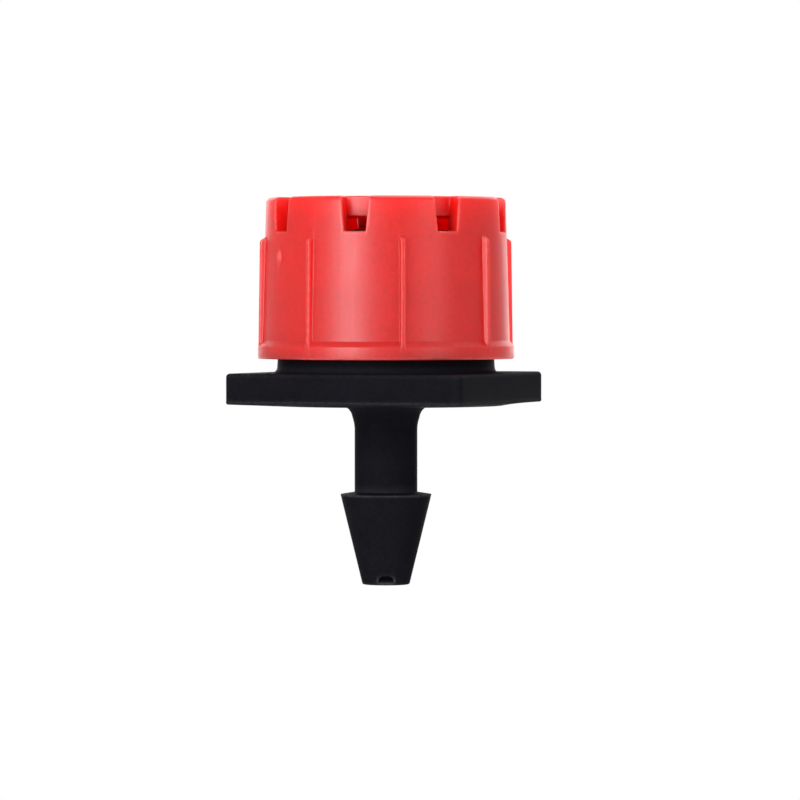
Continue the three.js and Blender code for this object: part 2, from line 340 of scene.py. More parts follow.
def carry(bm, edges, points):
    """Extrudes a ring of edges through rings of the given radius and height. Returns the last."""
    for point in points:
        made = bmesh.ops.extrude_edge_only(bm, edges=edges)["geom"]
        for vert in (item for item in made if isinstance(item, bmesh.types.BMVert)):
            scale = point.x / radius_of(vert)
            vert.co = (vert.co.x * scale, vert.co.y * scale, point.y)
        edges = [item for item in made if isinstance(item, bmesh.types.BMEdge) and item.is_boundary]
    return edges


def close_pole(bm, edges):
    """Gathers a small ring of edges into one point on the axis."""
    verts = list({vert for edge in edges for vert in edge.verts})
    height = verts[0].co.z
    bmesh.ops.pointmerge(bm, verts=verts, merge_co=(0, 0, height))


def finish_piece(bm, name, material, body, node):
    """Turns worked millimetres into a finished object in metres, which rides on a body."""
    bmesh.ops.remove_doubles(bm, verts=bm.verts, dist=WELD)
    bmesh.ops.dissolve_degenerate(bm, dist=WELD / 4, edges=bm.edges)
    bmesh.ops.recalc_face_normals(bm, faces=bm.faces)
    if bm.calc_volume(signed=True) < 0:
        bmesh.ops.reverse_faces(bm, faces=bm.faces)
    bmesh.ops.scale(bm, vec=(MM, MM, MM), verts=bm.verts)
    mesh = bpy.data.meshes.new(name)
    bm.to_mesh(mesh)
    bm.free()
    mesh.materials.append(material)
    mesh.shade_smooth()
    piece = bpy.data.objects.new(name, mesh)
    bpy.context.scene.collection.objects.link(piece)
    shading = piece.modifiers.new("Even shading", "WEIGHTED_NORMAL")
    shading.keep_sharp = True
    shading.weight = 80
    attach(piece, body)
    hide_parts(node)
    return piece


# ---- Screw thread --------------------------------------------------------------------------


def wound_ridge(sizes, root, crest, low, high, angle):
    """A ridge wound round a wall, one pitch of wall at a time, faded out and cut off at both ends."""
    pitch, foot, flat = (size / MM for size in (sizes.pitch, sizes.foot, sizes.crest))
    ridge = rounded([
        (root, 0, 0),
        (root, (pitch - foot) / 2, RIDGE_ROUND),
        (crest, (pitch - flat) / 2, RIDGE_ROUND),
        (crest, (pitch + flat) / 2, RIDGE_ROUND),
        (root, (pitch + foot) / 2, RIDGE_ROUND),
        (root, pitch, 0),
    ])
    bm = bmesh.new()
    verts, edges = wire(bm, ridge)
    first_z = THREAD_Z - pitch / 2
    first_z -= pitch * math.ceil((first_z - low) / pitch + 1)
    turns = math.ceil((high - first_z) / pitch)
    bmesh.ops.translate(bm, verts=verts, vec=(0, 0, first_z))
    bmesh.ops.rotate(bm, verts=verts, cent=(0, 0, 0), matrix=Matrix.Rotation(angle, 3, "Z"))
    bmesh.ops.spin(
        bm, geom=verts + edges, cent=(0, 0, 0), axis=(0, 0, 1), dvec=(0, 0, pitch / sizes.steps),
        angle=TAU * turns, steps=sizes.steps * turns, use_merge=False,
    )
    bmesh.ops.remove_doubles(bm, verts=bm.verts, dist=5 * WELD)
    fade = pitch * 0.4
    flush = fade * 0.2
    for vert in bm.verts:
        radius = radius_of(vert)
        reach = min(max((min(vert.co.z - low, high - vert.co.z) - flush) / fade, 0), 1)
        scale = (root + (radius - root) * reach * reach * (3 - 2 * reach)) / radius
        vert.co = (vert.co.x * scale, vert.co.y * scale, vert.co.z)
    for height, up in ((low, -1), (high, 1)):
        bmesh.ops.bisect_plane(
            bm, geom=bm.verts[:] + bm.edges[:] + bm.faces[:], dist=1e-5,
            plane_co=(0, 0, height), plane_no=(0, 0, up), clear_outer=True,
        )
    return bm


def add_thread(bm, sizes, root, crest, low, high, angle):
    """Joins a wound thread to the two open rings of a wall, which lie a small gap from its ends."""
    thread = bpy.data.meshes.new("thread")
    ridge = wound_ridge(sizes, root, crest, low, high, angle)
    ridge.to_mesh(thread)
    ridge.free()
    bm.from_mesh(thread)
    bpy.data.meshes.remove(thread)
    for height, side in ((low, -1), (high, 1)):
        rings = open_loop(bm, root, height) + open_loop(bm, root, height + side * THREAD_GAP)
        bmesh.ops.bridge_loops(bm, edges=rings)


# ---- Cap -----------------------------------------------------------------------------------


def wall_radius(sizes, height):
    """The wall's outside radius, which tapers from its foot to the rim."""
    share = (height - WALL_FOOT[1]) / (CAP_HIGH.z - WALL_FOOT[1])
    return WALL_FOOT[0] + (sizes.rim_radius / MM - WALL_FOOT[0]) * share


def cap_section(bm, sizes):
    """The wall's section at a rib: three faces for the wall, the notched stretch and the disc."""
    rim, bore = sizes.rim_radius / MM, sizes.bore_radius / MM
    top, under = CAP_HIGH.z, CAP_HIGH.z - sizes.disc / MM
    floor = top - sizes.notch_depth / MM
    rib_top = sizes.rib_top / MM
    # Rows of the mesh up the wall, closest at the pip and at the ribs' tops.
    rows = [5, 6.5, 8, 9.3, 9.6, 9.8, 9.95, 10.1, 10.25, 10.4, 10.6, 10.9]
    rows += [rib_top + step * 0.06 for step in (-5, -3, -2, -1, 0, 1, 2, 3)]
    rows.sort()
    points = rounded(
        [
            (CAP_ROOT + MOUTH_FLARE, CAP_LOW.z, 0.08),
            (sizes.flange_radius / MM, CAP_LOW.z, 0.12),
            (*FLANGE_TOP, 0.08),
            (*WALL_FOOT, 0.06),
            *[(wall_radius(sizes, row), row, 0) for row in rows],
            (wall_radius(sizes, floor), floor, 0),
            (rim, top, sizes.rim_round / MM),
            (bore, top, 0),
            (INNER_RADIUS, top, 0),
            (INNER_RADIUS, under, 0),
            (bore, under, 0),
            (bore, floor, 0),
            (bore, STEP_Z, 0.1),
            (CAP_ROOT, STEP_Z, 0.08),
            (CAP_ROOT, CAP_THREAD[1] + THREAD_GAP, 0),
            (CAP_ROOT, CAP_THREAD[0] - THREAD_GAP, 0),
            (CAP_ROOT, CAP_LOW.z + MOUTH_DEPTH, 0.04),
        ],
        closed=True,
    )
    verts = [bm.verts.new((0, point.x, point.y)) for point in points]
    bm.faces.new(verts)

    def nearest(radius, height):
        return min(verts, key=lambda v: (v.co - Vector((0, radius, height))).length)

    bmesh.ops.connect_verts(bm, verts=[nearest(wall_radius(sizes, floor), floor), nearest(bore, floor)])
    bmesh.ops.connect_verts(bm, verts=[nearest(bore, top), nearest(bore, under)])
    return list(bm.faces)


def push_on(bm, faces, place):
    """Extrudes section faces along the bar to where place puts each height. Returns the new faces."""
    made = bmesh.ops.extrude_face_region(bm, geom=faces)["geom"]
    bmesh.ops.delete(bm, geom=faces, context="FACES")
    for item in made:
        if isinstance(item, bmesh.types.BMVert):
            item.co.x = place(item.co.z)
    return [item for item in made if isinstance(item, bmesh.types.BMFace)]


def half_bay(bm, sizes):
    """Half of one bay of the cap as a straight bar, from the middle of a rib to that of a notch."""
    top = CAP_HIGH.z
    floor = top - sizes.notch_depth / MM
    bore = sizes.bore_radius / MM
    end = HALF_PITCH * sizes.rim_radius / MM
    half_width, half_top = sizes.notch_width / MM / 2, sizes.notch_top_width / MM / 2

    def flank(height):
        share = max(height - floor, 0) / (top - floor)
        return end - half_width - (half_top - half_width) * share

    faces = cap_section(bm, sizes)
    for line in RIB_LINES:
        faces = push_on(bm, faces, lambda height, line=line: line)
    for step in range(1, WALL_COLUMNS + 1):
        share = step / WALL_COLUMNS
        faces = push_on(
            bm, faces, lambda height, share=share: RIB_FOOT_LINE + (flank(height) - RIB_FOOT_LINE) * share
        )
    side = next(
        face for face in faces
        if face.calc_center_median().z > floor and face.calc_center_median().y > bore
    )
    faces = [face for face in faces if face is not side]
    for step in range(1, NOTCH_COLUMNS + 1):
        share = step / NOTCH_COLUMNS
        faces = push_on(
            bm, faces, lambda height, share=share: flank(height) + (end - flank(height)) * share
        )
    bmesh.ops.delete(bm, geom=faces, context="FACES")
    threaded = (CAP_THREAD[0] - THREAD_GAP - NEAR, CAP_THREAD[1] + THREAD_GAP + NEAR)
    inner = [face for face in bm.faces if all(abs(v.co.y - INNER_RADIUS) < NEAR for v in face.verts)]
    band = [
        face for face in bm.faces
        if all(abs(v.co.y - CAP_ROOT) < NEAR and threaded[0] < v.co.z < threaded[1] for v in face.verts)
    ]
    bmesh.ops.delete(bm, geom=inner + band, context="FACES")

    mark = bm.edges.layers.int.new(ROUND_OVER)
    for edge in side.edges:
        edge[mark] = 1
    for edge in bm.edges:
        a, b = (vert.co for vert in edge.verts)
        past = min(a.x - flank(a.z), b.x - flank(b.z)) > -NEAR
        along = abs(a.y - b.y) < NEAR and abs(a.z - b.z) < NEAR
        if past and along and a.z > floor - NEAR and edge.calc_face_angle(0) > 1:
            edge[mark] = 1
    return end


def raise_rib(bm, sizes):
    """Draws half a grip rib out of the wall, with soft shoulders and a sloped-off top."""
    half, soft = sizes.rib_width / MM / 2, 0.014
    top, slope = sizes.rib_top / MM, 0.055
    foot_radius, foot = FLANGE_TOP[0] + RIB_PROUD, FLANGE_TOP[1]
    lowest, highest = foot - 0.15, top + 0.4
    outside = sizes.rim_radius / MM - 0.05
    for vert in bm.verts:
        x, radius, height = vert.co
        if radius < outside or not lowest < height < highest or x > RIB_FOOT_LINE + NEAR:
            continue
        across = 1 / (1 + math.exp((x - half) / soft))
        down = 1 / (1 + math.exp((height - top) / slope))
        share = (height - foot) / (top - foot)
        reach = foot_radius + (sizes.rib_radius / MM - foot_radius) * share
        vert.co.y += max(reach - radius, 0) * across * down


def bend_bay(bm, sizes, end):
    """Bends the straight half bay round the axis. Ribs and notches keep parallel sides."""
    far = end - sizes.notch_top_width / MM / 2 - 0.05
    for vert in bm.verts:
        x, radius, height = vert.co
        near_angle = math.asin(min(x, RIB_FOOT_LINE) / radius)
        far_angle = HALF_PITCH - math.asin((end - max(x, far)) / radius)
        if x <= RIB_FOOT_LINE:
            angle = near_angle
        elif x >= far:
            angle = far_angle
        else:
            angle = near_angle + (far_angle - near_angle) * (x - RIB_FOOT_LINE) / (far - RIB_FOOT_LINE)
        vert.co = (radius * math.cos(angle), radius * math.sin(angle), height)


def ring_of_bays(bm):
    """Mirrors the half bay about its rib and copies the whole bay right round."""
    everything = bm.verts[:] + bm.edges[:] + bm.faces[:]
    bmesh.ops.mirror(bm, geom=everything, matrix=Matrix.Identity(4), merge_dist=WELD, axis="Y")
    everything = bm.verts[:] + bm.edges[:] + bm.faces[:]
    bmesh.ops.spin(
        bm, geom=everything, cent=(0, 0, 0), axis=(0, 0, 1), dvec=(0, 0, 0),
        angle=TAU * (COPIES - 1) / COPIES, steps=COPIES - 1, use_duplicate=True,
    )
    bmesh.ops.remove_doubles(bm, verts=bm.verts, dist=5 * WELD)
    bmesh.ops.rotate(bm, verts=bm.verts, cent=(0, 0, 0), matrix=Matrix.Rotation(RIB_ANGLE, 3, "Z"))


def disc_and_needle(bm, sizes):
    """Fills the middle: the recessed top with its gate mark, and the plug and needle below."""
    top, under = CAP_HIGH.z, CAP_HIGH.z - sizes.disc / MM
    recess, gate = top - RECESS_DEPTH, top - GATE_DROP
    face = rounded([
        (INNER_RADIUS, top, 0),
        (RECESS_RADIUS, top, 0.08),
        (RECESS_RADIUS - 0.2, recess, 0.1),
        (GATE_RADIUS, recess, 0.05),
        (GATE_RADIUS - WALL_DRAFT, gate, 0.04),
        (0.3, gate - 0.02, 0.06),
        (0.12, gate - 0.06, 0),
    ])
    close_pole(bm, carry(bm, open_loop(bm, INNER_RADIUS, top), face[1:]))
    needle = rounded([
        (INNER_RADIUS, under, 0),
        (PLUG_RADIUS, under, 0.12),
        (PLUG_RADIUS - WALL_DRAFT, PLUG_END_Z, 0.05),
        (NEEDLE_RADIUS, PLUG_END_Z, 0.03),
        (0.95, 11.46, 0.1),
        (NEEDLE_TIP_RADIUS, NEEDLE_END_Z, 0.18),
        (0.3, NEEDLE_END_Z, 0.1),
        (0.1, NEEDLE_END_Z, 0),
    ])
    close_pole(bm, carry(bm, open_loop(bm, INNER_RADIUS, under), needle[1:]))


def round_notches(bm, sizes):
    """Rounds over the marked edges of the outlet notches."""
    bmesh.ops.recalc_face_normals(bm, faces=bm.faces)
    mark = bm.edges.layers.int[ROUND_OVER]
    bmesh.ops.bevel(
        bm, geom=[edge for edge in bm.edges if edge[mark]], offset=sizes.edge_round / MM,
        offset_type="OFFSET", affect="EDGES", segments=3, profile=0.5, clamp_overlap=True, material=-1,
    )


def raise_pip(bm, sizes):
    """Draws the small locating pip out of the wall, below one notch."""
    across = Vector((-math.sin(PIP_ANGLE), math.cos(PIP_ANGLE), 0))
    out = Vector((math.cos(PIP_ANGLE), math.sin(PIP_ANGLE), 0))

    skin = sizes.rim_radius / MM - 0.2

    def near(co, reach):
        return abs(co.dot(across)) < reach and abs(co.z - PIP_Z) < PIP_PATCH and co.dot(out) > skin

    edges = [
        edge for edge in bm.edges
        if level(edge) and all(near(vert.co, PIP_PATCH) for vert in edge.verts)
    ]
    bmesh.ops.subdivide_edges(bm, edges=edges, cuts=3, use_grid_fill=True)
    for vert in bm.verts:
        if near(vert.co, PIP_REACH):
            aside, above = vert.co.dot(across) / PIP_HALF_WIDTH, (vert.co.z - PIP_Z) / PIP_HALF_HEIGHT
            swell = aside ** 2 + above ** 2
            vert.co += out * PIP_DEPTH * math.exp(-swell * swell / 2)


def build_cap(sizes, thread):
    """The cap: one half bay worked straight, bent and copied round, then its middle and thread."""
    bm = bmesh.new()
    end = half_bay(bm, sizes)
    raise_rib(bm, sizes)
    bend_bay(bm, sizes, end)
    ring_of_bays(bm)
    disc_and_needle(bm, sizes)
    round_notches(bm, sizes)
    raise_pip(bm, sizes)
    add_thread(bm, thread, CAP_ROOT, CAP_CREST, *CAP_THREAD, THREAD_ANGLE + math.pi)
    return bm


# ---- Base ----------------------------------------------------------------------------------


def grip_plate(bm, sizes):
    """The square plate, its rims rounded, open above and below where the round parts join it."""
    width, depth = sizes.plate_width / MM - 2 * FLASH, sizes.plate_thickness / MM
    corner, lift = sizes.corner / MM, sizes.rim_lift / MM
    corner_steps = 5
    bmesh.ops.create_cube(bm, size=1)
    bmesh.ops.scale(bm, vec=(width, width, depth - lift), verts=bm.verts)
    bmesh.ops.translate(bm, vec=(0, 0, (depth + lift) / 2), verts=bm.verts)
    upright = [edge for edge in bm.edges if not level(edge)]
    bmesh.ops.bevel(
        bm, geom=upright, offset=corner, offset_type="OFFSET", affect="EDGES", segments=corner_steps,
        profile=0.5, material=-1,
    )
    sides = [edge for edge in bm.edges if edge.calc_length() > width / 2]
    cuts = ROUND_STEPS // 4 - corner_steps - 1
    bmesh.ops.subdivide_edges(bm, edges=sides, cuts=cuts, use_grid_fill=True)
    for height, reach in ((depth, sizes.edge / MM), (lift, sizes.lower_edge / MM)):
        rim = [edge for edge in bm.edges if all(abs(vert.co.z - height) < NEAR for vert in edge.verts)]
        bmesh.ops.bevel(
            bm, geom=rim, offset=reach, offset_type="OFFSET", affect="EDGES", segments=4,
            profile=0.5, material=-1,
        )
    lids = [face for face in bm.faces if abs(face.normal.z) > 0.999 and len(face.verts) > 8]
    bmesh.ops.delete(bm, geom=lids, context="FACES_ONLY")
    for height in (FLASH_Z - FLASH, FLASH_Z, FLASH_Z + FLASH):
        bmesh.ops.bisect_plane(
            bm, geom=bm.verts[:] + bm.edges[:] + bm.faces[:], dist=1e-5,
            plane_co=(0, 0, height), plane_no=(0, 0, 1),
        )
    bm.normal_update()
    for vert in bm.verts:
        if abs(vert.co.z - FLASH_Z) < NEAR:
            vert.co += vert.normal * FLASH


def round_parts(bm, sizes):
    """Collar below the thread, and spigot, well, nozzle, bore, barb and stem above and within it."""
    plate, collar = sizes.plate_thickness / MM, sizes.collar_radius / MM
    bore, stem = sizes.bore_radius / MM, sizes.stem_radius / MM
    barb, tip = sizes.barb_radius / MM, sizes.tip_radius / MM
    low, top = BASE_LOW.z, BASE_HIGH.z
    collar_foot, flat = collar + 0.5, sizes.flat_radius / MM
    thread_low, thread_high = BASE_THREAD[0] - THREAD_GAP, BASE_THREAD[1] + THREAD_GAP
    turned(bm, rounded([
        (collar_foot, plate, 0),
        (collar + 0.07, plate, 0.34),
        (collar, COLLAR_TOP_Z, 0.1),
        (BASE_ROOT, COLLAR_TOP_Z, 0.06),
        (BASE_ROOT, thread_low, 0),
    ]))
    lift = (barb - tip) / (BARB_EDGE_Z - low)
    rows = [low + row for row in (WINDOW_REACH + WINDOW_ROWS[0], 0.9, 0.6, *reversed(WINDOW_ROWS))]
    turned(bm, rounded([
        (BASE_ROOT, thread_high, 0),
        (BASE_ROOT, thread_high + 0.1, 0.03),
        (SPIGOT_RADIUS, thread_high + 0.2, 0.04),
        (SPIGOT_RADIUS, GROOVE[0], 0.06),
        (GROOVE_RADIUS, GROOVE[0], 0.08),
        (GROOVE_RADIUS, GROOVE[1], 0.08),
        (SPIGOT_RADIUS, GROOVE[1], 0.06),
        (SPIGOT_RADIUS, SPIGOT_TOP_Z, 0.14),
        (WELL_RADIUS, SPIGOT_TOP_Z, 0.08),
        (WELL_RADIUS - WALL_DRAFT, WELL_FLOOR_Z, 0.3),
        (NOZZLE_RADIUS, WELL_FLOOR_Z, 0.3),
        (NOZZLE_RADIUS - WALL_DRAFT, top, 0.08),
        (SEAT_RADIUS, top, 0.03),
        (bore, SEAT_DEPTH_Z, 0.05),
        *[(bore, row, 0) for row in rows],
        (bore, low, 0.04),
        (tip, low, 0.1),
        *[(tip + lift * (row - low), row, 0) for row in reversed(rows)],
        (barb, BARB_EDGE_Z, 0.035),
        (stem, STEM_FOOT_Z, 0.05),
        (stem, STEM_TOP_Z, 0.3),
        *STEM_FLARE,
        (flat, 0, 0),
    ]))
    half = sizes.plate_width / MM / 2
    for height, radius, ring_height in ((plate, collar_foot, plate), (sizes.rim_lift / MM, flat, 0)):
        square = open_ring(bm, height, half - 0.5, 2 * half)
        join_rings(bm, square, open_loop(bm, radius, ring_height))


def tip_window(bm):
    """Opens the small arched window through one side of the barb's tip."""
    sill, top = (BASE_LOW.z + height for height in WINDOW_ROWS)
    crown = BASE_LOW.z + WINDOW_TOP
    half = WINDOW_WIDTH / 2
    out = Vector((math.cos(WINDOW_ANGLE), math.sin(WINDOW_ANGLE), 0))
    across = Vector((-out.y, out.x, 0))

    def in_window(co):
        on_side = abs(co.dot(across)) < half + 10 * NEAR and co.dot(out) > WINDOW_INSIDE
        return on_side and co.z > sill - NEAR

    doomed = [
        face for face in bm.faces
        if all(in_window(vert.co) and vert.co.z < top + NEAR for vert in face.verts)
    ]
    walls = [[face for face in doomed if face.normal.dot(out) * side > 0] for side in (1, -1)]
    for vert in bm.verts:
        if in_window(vert.co) and top - NEAR < vert.co.z < sill + WINDOW_REACH:
            share = min(abs(vert.co.dot(across)) / half, 1)
            arch = sill + (crown - sill) * max(math.sqrt(1 - share ** 3), WINDOW_END_RISE)
            fade = (sill + WINDOW_REACH - vert.co.z) / (sill + WINDOW_REACH - top)
            vert.co.z += (arch - top) * fade
    rims = [
        [edge for edge in bm.edges if sum(face in wall for face in edge.link_faces) == 1]
        for wall in map(set, walls)
    ]
    bmesh.ops.delete(bm, geom=walls[0] + walls[1], context="FACES")
    outer, inner = ([edge for edge in rim if edge.is_valid] for rim in rims)
    bmesh.ops.bridge_loops(bm, edges=outer + inner)
    bmesh.ops.recalc_face_normals(bm, faces=bm.faces)
    bmesh.ops.bevel(
        bm, geom=outer, offset=0.03, offset_type="OFFSET", affect="EDGES", segments=2,
        profile=0.5, clamp_overlap=True, material=-1,
    )


def part_line(bm, sizes):
    """A fine raised line down both sides of barb and stem, where the mould's halves met."""
    skin, edge = sizes.bore_radius / MM + 0.3, sizes.barb_radius / MM - 0.02
    lowest, highest = BASE_LOW.z + 0.3, -0.4
    for vert in bm.verts:
        on_line = abs(vert.co.y) < 10 * NEAR and lowest < vert.co.z < highest
        if on_line and skin < radius_of(vert) < edge:
            vert.co.x *= 1 + PART_LINE / radius_of(vert)


def build_base(sizes, thread):
    """The base: the plate, the round parts through it, then window and thread."""
    bm = bmesh.new()
    grip_plate(bm, sizes)
    round_parts(bm, sizes)
    part_line(bm, sizes)
    tip_window(bm)
    add_thread(bm, thread, BASE_ROOT, BASE_CREST, *BASE_THREAD, THREAD_ANGLE)
    return bm


# ---- Ring ----------------------------------------------------------------------------------


def build_ring():
    """The seal ring, its section a little flattened between groove and bore."""
    bm = bmesh.new()
    outer = RING_HIGH.x
    middle = (RING_LOW.z + RING_HIGH.z) / 2
    tall = RING_HIGH.z - RING_LOW.z
    made = bmesh.ops.create_circle(bm, segments=RING_STEPS, radius=0.5)["verts"]
    bmesh.ops.scale(bm, vec=(outer - RING_INNER, tall, 1), verts=made)
    bmesh.ops.rotate(bm, verts=made, cent=(0, 0, 0), matrix=Matrix.Rotation(math.pi / 2, 3, "X"))
    bmesh.ops.translate(bm, verts=made, vec=((RING_INNER + outer) / 2, 0, middle))
    spin_round(bm, bm.verts[:] + bm.edges[:])
    return bm


# ---- Finishes ------------------------------------------------------------------------------


def add_node(tree, kind, *values, settings=None, **named):
    """Adds a shader node. A value is a number or colour, or the output that feeds the socket."""
    node = tree.nodes.new(kind)
    for name, value in (settings or {}).items():
        setattr(node, name, value)
    sockets = [*zip(node.inputs, values)]
    sockets += [(node.inputs[name.replace("_", " ")], value) for name, value in named.items()]
    for socket, value in sockets:
        if isinstance(value, bpy.types.NodeSocket):
            tree.links.new(value, socket)
        elif value is not None:
            socket.default_value = value
    return node


def calculate(tree, operation, *values):
    return add_node(tree, "ShaderNodeMath", *values, settings={"operation": operation}).outputs[0]


def mix_colour(tree, share, first, second, blend="MIX"):
    """Mixes two colours and gives the mixed one."""
    node = tree.nodes.new("ShaderNodeMix")
    node.data_type = "RGBA"
    node.blend_type = blend
    # The node also has sockets for plain values and vectors. These are the ones for colours.
    factor, upper, lower, result = node.inputs[0], node.inputs[6], node.inputs[7], node.outputs[2]
    for socket, value in ((factor, share), (upper, first), (lower, second)):
        if isinstance(value, bpy.types.NodeSocket):
            tree.links.new(value, socket)
        else:
            socket.default_value = value
    return result


def speckle(tree, places, scale, detail, stretch=(1, 1, 1)):
    """Noise with cells of about one over scale, in metres, centred on zero."""
    mapping = add_node(tree, "ShaderNodeMapping", Vector=places, Scale=stretch)
    noise = add_node(
        tree, "ShaderNodeTexNoise", Vector=mapping.outputs[0], Scale=scale, Detail=detail, Roughness=0.6
    )
    return calculate(tree, "SUBTRACT", noise.outputs["Fac"], 0.5)


def moulded_surface():
    """Node group: clouded colour, edges paler with wear and painted highlight, painted shade in corners,
    uneven gloss and fine grain.
    """
    group = bpy.data.node_groups.new("Moulded surface", "ShaderNodeTree")
    for name, kind in (
        ("Colour", "NodeSocketColor"),
        ("Colour painted in shade", "NodeSocketColor"),
        ("Edge colour", "NodeSocketColor"),
        ("Clouding", "NodeSocketFloat"),
        ("Roughness", "NodeSocketFloat"),
        ("Uneven gloss", "NodeSocketFloat"),
        ("Grain", "NodeSocketFloat"),
        ("Draw marks", "NodeSocketFloat"),
    ):
        group.interface.new_socket(name, in_out="INPUT", socket_type=kind)
    for name, kind in (
        ("Colour", "NodeSocketColor"),
        ("Roughness", "NodeSocketFloat"),
        ("Height", "NodeSocketFloat"),
    ):
        group.interface.new_socket(name, in_out="OUTPUT", socket_type=kind)
    given = group.nodes.new("NodeGroupInput").outputs
    made = group.nodes.new("NodeGroupOutput").inputs
    places = group.nodes.new("ShaderNodeTexCoord").outputs["Object"]

    clouds = speckle(group, places, 420, 3)
    flecks = speckle(group, places, 3200, 2)
    grain = speckle(group, places, 11000, 2)
    marks = speckle(group, places, 5200, 2, stretch=(1, 1, 0.03))

    # Painted shade: where a point sees little open space within 0.7 mm, its colour turns to the colour
    # painted in shade.
    open_sky = add_node(
        group, "ShaderNodeAmbientOcclusion", settings={"samples": 8, "only_local": True}, Distance=0.7 * MM
    )
    # Thin edges turn to the edge colour: on the red and black this is handling wear and painted highlight,
    # on the rubber its bloom.
    thin = add_node(
        group, "ShaderNodeAmbientOcclusion",
        settings={"samples": 8, "only_local": True, "inside": True}, Distance=0.22 * MM,
    )
    edge = calculate(group, "SUBTRACT", 1, thin.outputs["AO"])
    ragged = calculate(group, "MULTIPLY_ADD", flecks, 1.6, 0.8)
    edge = calculate(group, "MULTIPLY", calculate(group, "MULTIPLY", edge, ragged), 1.3)
    edge = add_node(group, "ShaderNodeClamp", edge).outputs[0]

    cloud_tone = calculate(group, "MULTIPLY_ADD", clouds, given["Clouding"], 1)
    fleck_tone = calculate(group, "MULTIPLY_ADD", flecks, given["Clouding"], cloud_tone)
    tone = add_node(group, "ShaderNodeCombineColor", fleck_tone, fleck_tone, fleck_tone).outputs[0]
    colour_here = mix_colour(group, 1.0, given["Colour"], tone, "MULTIPLY")
    colour_here = mix_colour(group, open_sky.outputs["AO"], given["Colour painted in shade"], colour_here)
    colour_here = mix_colour(group, edge, colour_here, given["Edge colour"])
    group.links.new(colour_here, made["Colour"])

    uneven = calculate(group, "ADD", clouds, calculate(group, "ADD", flecks, marks))
    rough = calculate(group, "MULTIPLY_ADD", uneven, given["Uneven gloss"], given["Roughness"])
    group.links.new(add_node(group, "ShaderNodeClamp", rough, 0.05, 0.95).outputs[0], made["Roughness"])

    height = calculate(group, "MULTIPLY", grain, given["Grain"])
    height = calculate(group, "MULTIPLY_ADD", marks, given["Draw marks"], height)
    group.links.new(height, made["Height"])
    return group


def finish_material(name, colours, surface, relief, gloss):
    """A moulded finish. Surface feeds the shared group, relief the bump, gloss the shader's sockets."""
    material = bpy.data.materials.new(name)
    material.use_nodes = True
    tree = material.node_tree
    shader = tree.nodes["Principled BSDF"]
    group = bpy.data.node_groups.get("Moulded surface") or moulded_surface()
    node = add_node(tree, "ShaderNodeGroup", settings={"node_tree": group})
    for socket, rgb in zip(("Colour", "Colour painted in shade", "Edge colour"), colours):
        node.inputs[socket].default_value = (*rgb, 1)
    for socket, value in surface.items():
        node.inputs[socket].default_value = value
    bump = add_node(
        tree, "ShaderNodeBump", Strength=0.6, Distance=relief * MM, Height=node.outputs["Height"]
    )
    tree.links.new(node.outputs["Colour"], shader.inputs["Base Color"])
    tree.links.new(node.outputs["Roughness"], shader.inputs["Roughness"])
    tree.links.new(bump.outputs[0], shader.inputs["Normal"])
    for socket, value in gloss.items():
        shader.inputs[socket].default_value = value
    return material


def red_plastic(finish):
    """Red polypropylene: satin, slightly see-through, so that thin and deep places glow."""
    return finish_material(
        "red moulded plastic",
        (finish.red, finish.red_in_shade, finish.red_edge_wear_and_highlight),
        {"Clouding": 0.28, "Roughness": 0.4, "Uneven gloss": 0.12, "Grain": 1, "Draw marks": 0.5},
        0.006,
        {
            "IOR": 1.5,
            "Specular IOR Level": 0.58,
            "Subsurface Weight": 1.0,
            "Subsurface Radius": (1.0, 0.06, 0.04),
            "Subsurface Scale": 5 * MM,
        },
    )


def black_plastic(finish):
    """Black polypropylene: a dull, dense black with a faint blue cast."""
    return finish_material(
        "black moulded plastic",
        (finish.black, finish.black_in_shade, finish.black_edge_wear_and_highlight),
        {"Clouding": 0.5, "Roughness": 0.52, "Uneven gloss": 0.15, "Grain": 1, "Draw marks": 0.4},
        0.008,
        {"IOR": 1.49, "Specular IOR Level": 0.005},
    )


def seal_rubber(finish):
    """Matt black rubber, cloudy and finely grained."""
    return finish_material(
        "seal rubber",
        (finish.rubber, finish.rubber_in_shade, finish.rubber_edge),
        {"Clouding": 0.6, "Roughness": 0.68, "Uneven gloss": 0.15, "Grain": 1, "Draw marks": 0},
        0.012,
        {"IOR": 1.52, "Specular IOR Level": 0.3, "Sheen Weight": 0.04, "Sheen Roughness": 0.5},
    )


# ---- Studio --------------------------------------------------------------------------------


class Angles:
    """Places around the emitter, told by the angle to the right of the camera and the height."""

    def __init__(self, azimuth):
        self.view = Vector((math.sin(azimuth), -math.cos(azimuth), 0))
        self.right = Vector((math.cos(azimuth), math.sin(azimuth), 0))

    def place(self, across, distance, height):
        turn = math.radians(across)
        return (self.view * math.cos(turn) + self.right * math.sin(turn)) * distance + Vector((0, 0, height))


def softbox(name, place, target, width, height, radiance, tint):
    """A plain rectangular softbox facing a target, of even radiance."""
    light = bpy.data.lights.new(name, "AREA")
    light.color = tint
    light.shape = "RECTANGLE"
    light.size = width
    light.size_y = height
    light.energy = radiance * math.pi * width * height
    lamp = bpy.data.objects.new(name, light)
    bpy.context.scene.collection.objects.link(lamp)
    lamp.location = place
    lamp.rotation_euler = (target - place).to_track_quat("-Z", "Y").to_euler()
    lamp.visible_camera = False


